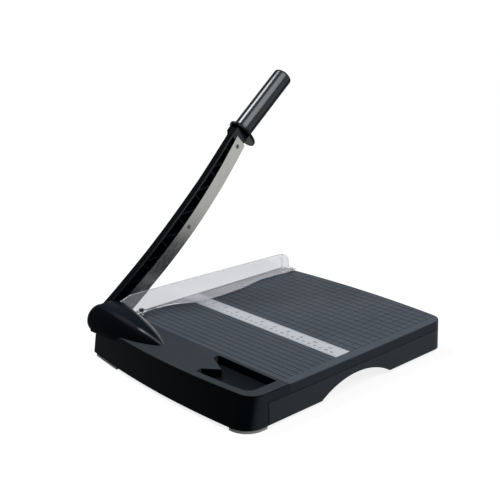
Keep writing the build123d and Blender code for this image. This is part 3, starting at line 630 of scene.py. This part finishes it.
def printed_ruler(colours):
    """The ruler strip: sixteenths and inches along one edge, millimetres and centimetres along the other."""
    material, tree, shader = new_material("printed_ruler", Specular_IOR_Level=0.35)
    x, y, _ = object_place(tree)
    ticks = None
    for rows, edge, inward in ((INCH_TICKS, STRIP_HIGH.y, -1), (METRIC_TICKS, STRIP_LOW.y, 1)):
        for pitch, width, reach in rows:
            low, high = sorted((edge, edge + inward * reach * MM))
            lines = mask(tree, "Ruled Lines", Coordinate=x, Start=CUT_X, Pitch=pitch, Width=width * MM)
            row = product(tree, lines, mask(tree, "Band", Coordinate=y, Low=low, High=high))
            ticks = row if ticks is None else math_node(tree, "MAXIMUM", ticks, row)
    bare = lay_surface(
        tree, shader, "Moulded Grain", 0.008,
        Colour=opaque(colours.strip), Pebble_Scale=900.0, Fleck=0.06, Rubbed=0.06, Roughness=0.42,
    )
    tree.links.new(blend_colours(tree, ticks, bare, opaque(colours.ink)), shader.inputs["Base Color"])
    return material


def clear_acrylic(colours):
    """Clear acrylic with a faint cloudiness, whose cut edges gather light."""
    material, tree, shader = new_material("clear_acrylic", IOR=1.45, Transmission_Weight=0.8)
    x, _, z = object_place(tree)
    low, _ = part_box("clear_guard")
    level = mask(tree, "Facing", Low=0.5, High=0.8)
    off_wall = math_node(tree, "GREATER_THAN", x, low.x + GUARD_WALL)
    above_flange = math_node(tree, "GREATER_THAN", z, low.z + GUARD_FLANGE)
    front_edge = product(tree, inverse(tree, level), off_wall)
    top_edge = product(tree, level, above_flange)
    edge = math_node(tree, "MAXIMUM", front_edge, top_edge)
    tone = blend_colours(tree, edge, opaque(colours.clear), opaque(colours.clear_edge))
    tree.links.new(tone, shader.inputs["Base Color"])
    cloud = node(tree, "ShaderNodeTexNoise", Scale=60.0, Detail=3.0)
    tree.links.new(object_coordinates(tree), cloud.inputs["Vector"])
    haze = math_node(tree, "ADD", product(tree, cloud.outputs["Fac"], CLOUD_HAZE), HAZE)
    haze = math_node(tree, "ADD", haze, product(tree, edge, EDGE_HAZE))
    tree.links.new(haze, shader.inputs["Roughness"])
    return material


# ---------------------------------------------------------------- pieces

def finish(material, *names):
    """Give CAD nodes their material in every slot."""
    for name in names:
        for place in NODES[name].material_slots:
            place.material = material


def clear_selection():
    if bpy.context.object and bpy.context.object.mode != "OBJECT":
        bpy.ops.object.mode_set(mode="OBJECT")
    bpy.ops.object.select_all(action="DESELECT")


def place_piece(obj, name, body, material):
    """Name a finished piece, apply its place, give it its finish and let it ride."""
    clear_selection()
    obj.name = name
    obj.data.name = name
    obj.select_set(True)
    bpy.context.view_layer.objects.active = obj
    bpy.ops.object.transform_apply(location=True, rotation=True, scale=True)
    obj.data.materials.clear()
    obj.data.materials.append(material)
    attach(obj, body)
    clear_selection()


# ---------------------------------------------------------------- operators

class CUTTER_OT_stage(bpy.types.Operator):
    """Lay a white floor, hang the lamps and set the camera"""

    bl_idname = "cutter.stage"
    bl_label = "Studio"

    def execute(self, context):
        studio = context.scene.cutter_studio
        context.scene.view_settings.view_transform = "Standard"
        clear_selection()
        bpy.ops.mesh.primitive_plane_add(size=FLOOR_SIZE, location=(0, 0, 0))
        floor = context.object
        floor.name = "studio_floor"
        floor.data.materials.append(self.floor_material())
        self.set_world(context.scene, studio.fill)
        for name, spot, size, power in LAMPS:
            self.hang_lamp(context, name, spot, size, getattr(studio, power))
        turn = (math.pi / 2 - studio.dip, 0, studio.heading)
        bpy.ops.object.camera_add(location=CAMERA_SPOT, rotation=turn)
        camera = context.object
        camera.name = "camera"
        camera.data.lens = studio.lens
        camera.data.sensor_width = SENSOR_WIDTH
        context.scene.camera = camera
        return {"FINISHED"}

    def hang_lamp(self, context, name, spot, size, power):
        """A softbox that faces the origin, with its long side square to the arm at rest."""
        arm = Vector((0, math.cos(REST_TILT), math.sin(REST_TILT)))
        back = spot.normalized()
        side = arm.cross(back).normalized()
        turn = Matrix((side, back.cross(side), back)).transposed().to_euler()
        bpy.ops.object.light_add(type="AREA", location=spot, rotation=turn)
        lamp = context.object
        lamp.name = name
        lamp.data.shape = "RECTANGLE"
        lamp.data.size, lamp.data.size_y = size
        lamp.data.energy = power

    def floor_material(self):
        """White where it is seen, with a soft shadow by the base, and dim to bounced light."""
        material, tree, shader = new_material("studio_floor", Roughness=0.9, Specular_IOR_Level=0.1)
        away = node(tree, "ShaderNodeVectorMath", operation="LENGTH")
        tree.links.new(object_coordinates(tree), away.inputs[0])
        lit = node(
            tree, "ShaderNodeMapRange", interpolation_type="SMOOTHSTEP",
            From_Min=SHADE_NEAR, From_Max=SHADE_FAR, To_Min=SHADED_GLOW, To_Max=1.0,
        )
        tree.links.new(away.outputs["Value"], lit.inputs["Value"])
        glow = tree.nodes.new("ShaderNodeEmission")
        tree.links.new(lit.outputs[0], glow.inputs["Strength"])
        shade = product(tree, inverse(tree, lit.outputs[0]), SHADE_GAIN)
        tint = tree.nodes.new("ShaderNodeCombineColor")
        for channel in tint.inputs:
            tree.links.new(shade, channel)
        tree.links.new(tint.outputs[0], shader.inputs["Base Color"])
        both = tree.nodes.new("ShaderNodeAddShader")
        tree.links.new(shader.outputs[0], both.inputs[0])
        tree.links.new(glow.outputs[0], both.inputs[1])
        dim = node(tree, "ShaderNodeBsdfDiffuse", Color=BOUNCE_TONE)
        mix = tree.nodes.new("ShaderNodeMixShader")
        tree.links.new(seen_rays(tree), mix.inputs[0])
        tree.links.new(dim.outputs[0], mix.inputs[1])
        tree.links.new(both.outputs[0], mix.inputs[2])
        tree.links.new(mix.outputs[0], tree.nodes["Material Output"].inputs["Surface"])
        return material

    def set_world(self, scene, fill):
        """White where it is seen, and as strong as the fill where it only lights."""
        world = bpy.data.worlds.new("studio_world")
        world.use_nodes = True
        scene.world = world
        tree = world.node_tree
        background = tree.nodes["Background"]
        background.inputs["Color"].default_value = (1, 1, 1, 1)
        strength = node(tree, "ShaderNodeMapRange", To_Min=fill, To_Max=1.0)
        tree.links.new(seen_rays(tree), strength.inputs["Value"])
        tree.links.new(strength.outputs[0], background.inputs["Strength"])


class CUTTER_OT_base(bpy.types.Operator):
    """Finish the sheet bed, the front cover, the lower frame and the feet"""

    bl_idname = "cutter.base"
    bl_label = "Base"

    def execute(self, context):
        colours = context.scene.cutter_colours
        finish(printed_deck(colours, context.scene.cutter_print), "deck_plate")
        finish(cover_plastic(colours), "front_cover")
        frame_finish = frame_plastic(colours)
        finish(frame_finish, "base_frame")
        bpy.ops.mesh.primitive_cube_add(size=1.0, location=SEAM_LIP_MIDDLE, scale=SEAM_LIP_SIZE)
        place_piece(context.object, "panel_seam_lip", "base", frame_finish)
        rubber = moulded_plastic("foot_rubber", colours.rubber, 0.75, relief=0.05, Pebble_Scale=900.0)
        finish(rubber, "foot_front_left", "foot_front_right", "foot_rear_left", "foot_rear_right")
        return {"FINISHED"}


class CUTTER_OT_ruler(bpy.types.Operator):
    """Print the ruler's ticks and set its figures"""

    bl_idname = "cutter.ruler"
    bl_label = "Ruler"

    def execute(self, context):
        colours = context.scene.cutter_colours
        sizes = context.scene.cutter_print
        finish(printed_ruler(colours), "ruler_strip")
        ink = moulded_plastic("ruler_ink", colours.ink, 0.5, relief=0.005, Fleck=0.2)
        inch_y = STRIP_HIGH.y - INCH_INSET
        cm_y = STRIP_LOW.y + CM_INSET
        self.figures(context, "inch_figures", sizes.inches, INCH, sizes.inch_figure, inch_y, ink)
        self.figures(context, "centimetre_figures", CM_LAST, 10 * MM, CM_FIGURE, cm_y, ink)
        return {"FINISHED"}

    def figures(self, context, name, count, pitch, height, y, ink):
        """A row of plain numbers, read from the handle's end."""
        clear_selection()
        made = []
        for number in range(1, count + 1):
            spot = (CUT_X + number * pitch, y, STRIP_HIGH.z + FIGURE_LIFT)
            bpy.ops.object.text_add(location=spot, rotation=(0, 0, math.pi))
            text = context.object
            text.data.body = str(number)
            text.data.size = height * TEXT_PER_FIGURE
            text.data.align_x = "CENTER"
            text.data.align_y = "CENTER"
            text.data.offset = FIGURE_SWELL
            bpy.ops.object.convert(target="MESH")
            made.append(context.object)
            clear_selection()
        for piece in made:
            piece.select_set(True)
        context.view_layer.objects.active = made[0]
        bpy.ops.object.join()
        place_piece(context.object, name, "base", ink)


class CUTTER_OT_arm(bpy.types.Operator):
    """Finish the arm, the pivot cover, and the metal parts of the pivot and the base"""

    bl_idname = "cutter.arm"
    bl_label = "Arm and pivot"

    def execute(self, context):
        colours = context.scene.cutter_colours
        finish(arm_plastic(colours), "arm_beam")
        finish(pivot_cover_plastic(colours), "pivot_cover")
        finish(moulded_plastic("cap_plastic", colours.arm, 0.3, specular=0.3), "hub_cap")
        plate = steel("zinc_plate", colours.zinc, streak=(240, 240, 240), roughness=0.3, depth=0.15)
        finish(plate, "pivot_bracket", "pivot_bolt", "pivot_washers", "pivot_nut", "disc_springs")
        finish(plate, "handle_core")
        dark = steel("blackened_steel", colours.blackened, streak=(400, 400, 400), depth=0.2)
        finish(dark, "bed_knife_screws", "guard_screw_near")
        bright = steel("zinc_screw", colours.screw, streak=(300, 300, 300), roughness=0.28)
        finish(bright, "frame_screws", "cover_screws", "pivot_bracket_screws", "pivot_cover_screws")
        finish(steel("turned_brass", colours.brass, streak=(900, 60, 60), roughness=0.3), "pivot_bush")
        return {"FINISHED"}


class CUTTER_OT_blade(bpy.types.Operator):
    """Finish the blade, its screws and the bed knife"""

    bl_idname = "cutter.blade"
    bl_label = "Blade"

    def execute(self, context):
        colours = context.scene.cutter_colours
        finish(blade_steel(colours), "blade")
        screw = steel("screw_steel", colours.blade_screw, streak=(500, 500, 500), roughness=0.3)
        finish(screw, "blade_screws")
        finish(steel("knife_steel", colours.knife, streak=(300, 6, 700), roughness=0.35), "bed_knife")
        return {"FINISHED"}


class CUTTER_OT_handle(bpy.types.Operator):
    """Finish the grip and the hand guard"""

    bl_idname = "cutter.handle"
    bl_label = "Handle"

    def execute(self, context):
        colours = context.scene.cutter_colours
        finish(grip_plastic(colours), "handle_grip")
        polished = moulded_plastic(
            "polished_guard", colours.arm, 0.24, relief=0.003, specular=0.06,
            Pebble_Scale=700.0, Fleck=0.1, Rubbed=0.08,
        )
        finish(polished, "hand_guard")
        return {"FINISHED"}


class CUTTER_OT_clamp(bpy.types.Operator):
    """Finish the clear guard, its far stud and its springs"""

    bl_idname = "cutter.clamp"
    bl_label = "Clear guard"

    def execute(self, context):
        colours = context.scene.cutter_colours
        finish(clear_acrylic(colours), "clear_guard")
        nylon = moulded_plastic("stud_nylon", colours.nylon, 0.4, Fleck=0.05, Rubbed=0.05)
        finish(nylon, "guard_stud_far")
        wire = steel("spring_wire", colours.wire, streak=(800, 800, 800), roughness=0.25)
        finish(wire, "guard_spring_near", "guard_spring_far")
        return {"FINISHED"}


STEPS = ("base", "ruler", "arm", "blade", "handle", "clamp", "stage")


class CUTTER_PT_panel(bpy.types.Panel):
    """The paper cutter's pieces and settings"""

    bl_idname = "CUTTER_PT_panel"
    bl_label = "Paper Cutter"
    bl_space_type = "VIEW_3D"
    bl_region_type = "UI"
    bl_category = "Paper Cutter"

    def draw(self, context):
        for step in STEPS:
            self.layout.operator(f"cutter.{step}")
        scene = context.scene
        for settings in (scene.cutter_colours, scene.cutter_print, scene.cutter_studio):
            for key in settings.__annotations__:
                self.layout.prop(settings, key)


CLASSES = (
    CutterColours,
    CutterPrint,
    CutterStudio,
    CUTTER_OT_base,
    CUTTER_OT_ruler,
    CUTTER_OT_arm,
    CUTTER_OT_blade,
    CUTTER_OT_handle,
    CUTTER_OT_clamp,
    CUTTER_OT_stage,
    CUTTER_PT_panel,
)


def register():
    for one in CLASSES:
        bpy.utils.register_class(one)
    bpy.types.Scene.cutter_colours = PointerProperty(type=CutterColours)
    bpy.types.Scene.cutter_print = PointerProperty(type=CutterPrint)
    bpy.types.Scene.cutter_studio = PointerProperty(type=CutterStudio)


def unregister():
    del bpy.types.Scene.cutter_studio
    del bpy.types.Scene.cutter_print
    del bpy.types.Scene.cutter_colours
    for one in reversed(CLASSES):
        bpy.utils.unregister_class(one)


def main():
    register()
    for step in STEPS:
        getattr(bpy.ops.cutter, step)()


if __name__ == "__main__":
    main()
